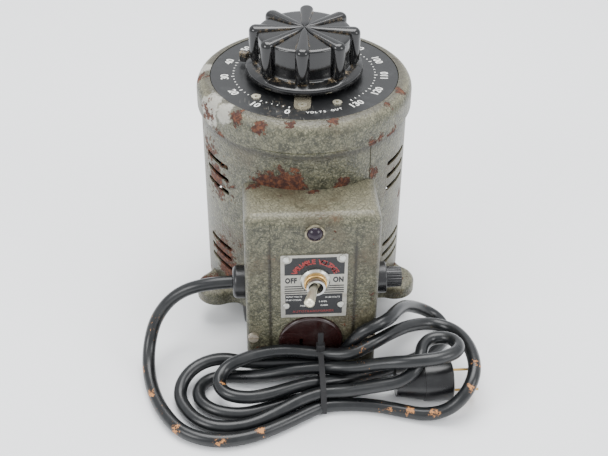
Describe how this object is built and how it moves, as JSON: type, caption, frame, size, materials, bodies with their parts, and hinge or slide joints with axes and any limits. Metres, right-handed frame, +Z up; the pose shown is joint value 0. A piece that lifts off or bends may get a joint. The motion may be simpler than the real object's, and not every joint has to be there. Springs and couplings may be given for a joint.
{
  "type": "variable autotransformer",
  "caption": "Drum-shaped variable autotransformer with a ribbed knob over a printed dial, a front control box with toggle switch, lamp, outlet and fuse, and a tied mains cord.",
  "frame": {"origin": "on the drum's axis at the level of the surface the feet stand on", "axes": "+Z up along the drum axis and knob shaft, -Y out of the front of the control box, +X to the right seen from the front"},
  "size_m": [0.2193, 0.2507, 0.2016],
  "materials": {
    "hammertone_paint": "worn grey-green hammertone",
    "black_rubber": "aged",
    "zinc_steel": "dull zinc",
    "dial_enamel": "satin black enamel",
    "nickel_brass": "worn nickel",
    "clear_tab": "yellowed clear",
    "brass_turned": "turned",
    "steel_shaft": "ground",
    "fibre_board": "laminated",
    "core_steel": "wound strip",
    "enamelled_copper": "enamelled copper wire",
    "bare_copper": "polished track",
    "cast_aluminium": "cast",
    "carbon": "carbon",
    "black_bakelite": "polished",
    "brown_bakelite": "polished",
    "rusty_steel": "rusty",
    "plate_aluminium": "printed",
    "switch_bakelite": "moulded",
    "nickel_plate": "worn nickel",
    "lamp_glass": "dark lens",
    "fuse_glass": "clear",
    "cord_rubber": "worn",
    "tie_nylon": "nylon"
  },
  "bodies": {
    "housing": {"base_plate": "hammertone_paint", "box_screws": "rusty_steel", "bushing_locknut": "zinc_steel", "bushing_nut": "zinc_steel", "cable_tie": "tie_nylon", "clamp_bolts": "zinc_steel", "clamp_plate": "fibre_board", "collector_ring": "brass_turned", "contact_track": "bare_copper", "control_box": "hammertone_paint", "cord_bushing": "black_rubber", "cord_hank": "cord_rubber", "cord_lead": "cord_rubber", "dial_eyelets": "nickel_brass", "dial_plate": "dial_enamel", "drum_shell": "hammertone_paint", "foot_nuts": "zinc_steel", "foot_screws": "zinc_steel", "fuse_holder": "black_bakelite", "fuse_nut": "black_bakelite", "index_tab": "clear_tab", "lamp_bezel": "nickel_brass", "lamp_holder": "switch_bakelite", "lamp_lens": "lamp_glass", "lower_bearing": "brass_turned", "lower_insulator": "fibre_board", "nameplate": "plate_aluminium", "nameplate_rivets": "plate_aluminium", "outlet_body": "brown_bakelite", "outlet_contacts": "brass_turned", "plug_blades": "brass_turned", "plug_body": "black_rubber", "rubber_feet": "black_rubber", "shaft_bushing": "brass_turned", "stop_post": "steel_shaft", "switch_body": "switch_bakelite", "switch_nut": "brass_turned", "switch_pivot_pin": "steel_shaft", "switch_ring": "nickel_plate", "terminal_board": "fibre_board", "terminal_screws": "brass_turned", "top_cover": "hammertone_paint", "toroid_core": "core_steel", "toroid_winding": "enamelled_copper"},
    "rotor": {"rotor_shaft": "steel_shaft", "brush_arm": "cast_aluminium", "brush_holder": "brass_turned", "carbon_brush": "carbon", "brush_spring": "steel_shaft", "collector_contact": "brass_turned", "knob": "black_bakelite", "knob_pointer": "black_bakelite", "knob_set_screw": "steel_shaft"},
    "lever": {"switch_lever": "nickel_plate"},
    "fuse_carrier": {"fuse": "fuse_glass"},
    "cap": {"fuse_cap": "black_bakelite"}
  },
  "joints": [
    {"name": "knob_turn", "type": "hinge", "parent": "housing", "child": "rotor", "pos_m": [0, 0, 0.15], "axis": [0, 0, 1], "range_deg": [-214.2, 95.2]},
    {"name": "switch_toggle", "type": "hinge", "parent": "housing", "child": "lever", "pos_m": [0.0015, -0.1005, 0.076], "axis": [0, 0, 1], "range_deg": [0, 30]},
    {"name": "fuse_pull", "type": "slide", "parent": "housing", "child": "fuse_carrier", "axis": [1, 0, 0], "range_m": [0, 0.036]},
    {"name": "fuse_cap_turn", "type": "hinge", "parent": "fuse_carrier", "child": "cap", "pos_m": [0.0491, -0.074, 0.058], "axis": [1, 0, 0], "range_deg": [0, 90]}
  ]
}
